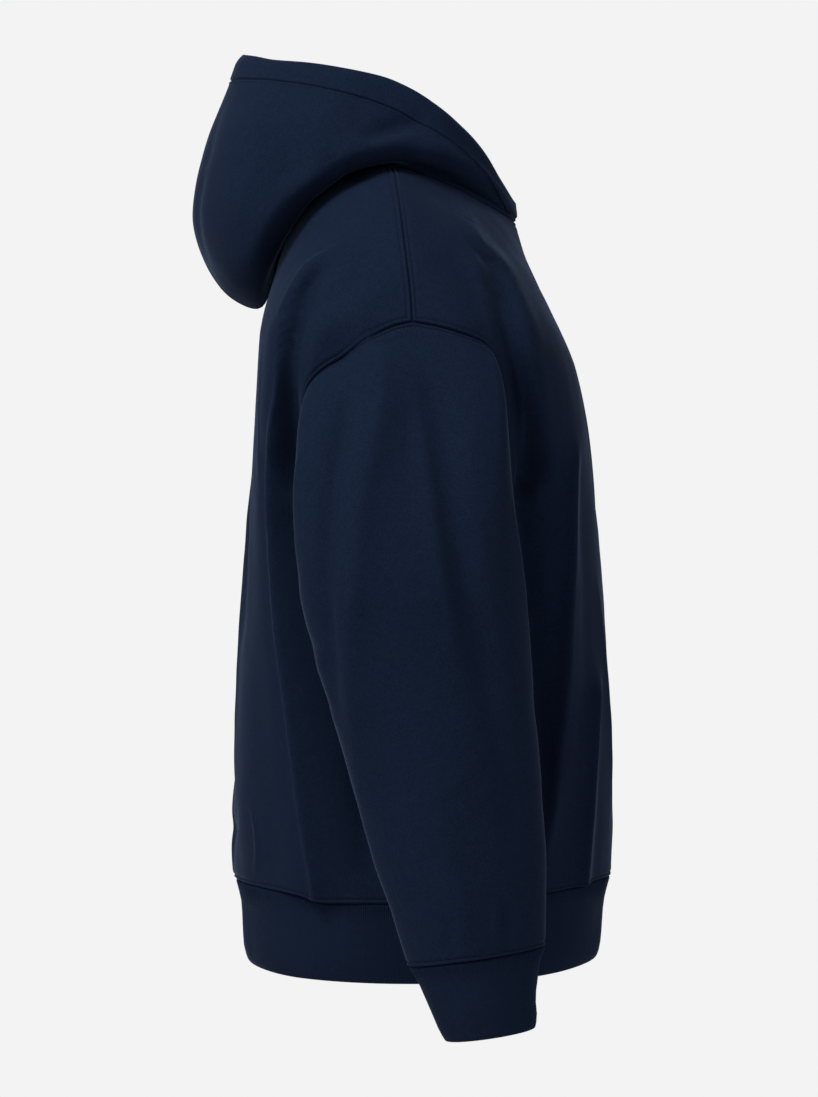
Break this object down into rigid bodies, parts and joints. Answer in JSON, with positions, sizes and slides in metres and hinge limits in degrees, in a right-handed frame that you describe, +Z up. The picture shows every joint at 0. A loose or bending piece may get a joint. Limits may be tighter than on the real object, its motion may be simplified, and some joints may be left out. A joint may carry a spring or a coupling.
{
  "type": "pullover hoodie",
  "caption": "Loose pullover hoodie in heavy fleece, in its worn form with the hood down, with dropped shoulders, long sleeves and ribbed cuffs and hem.",
  "frame": {"origin": "midway between the two high shoulder points, where the neck seam meets the shoulder seams", "axes": "+Z up, the front faces -Y, the wearer's left is +X"},
  "size_m": [0.7134, 0.3888, 0.8854],
  "materials": {
    "front_panel": "matt brushed fleece",
    "back_panel": "matt brushed fleece",
    "sleeve_right": "matt brushed fleece",
    "sleeve_left": "matt brushed fleece",
    "cuff_right": "matt rib knit",
    "cuff_left": "matt rib knit",
    "hem_band": "matt rib knit",
    "hood_right": "matt brushed fleece",
    "hood_left": "matt brushed fleece"
  },
  "bodies": {
    "root": {"front_panel": "front_panel", "back_panel": "back_panel", "sleeve_right": "sleeve_right", "sleeve_left": "sleeve_left", "cuff_right": "cuff_right", "cuff_left": "cuff_left", "hem_band": "hem_band", "hood_right": "hood_right", "hood_left": "hood_left"}
  },
  "joints": []
}
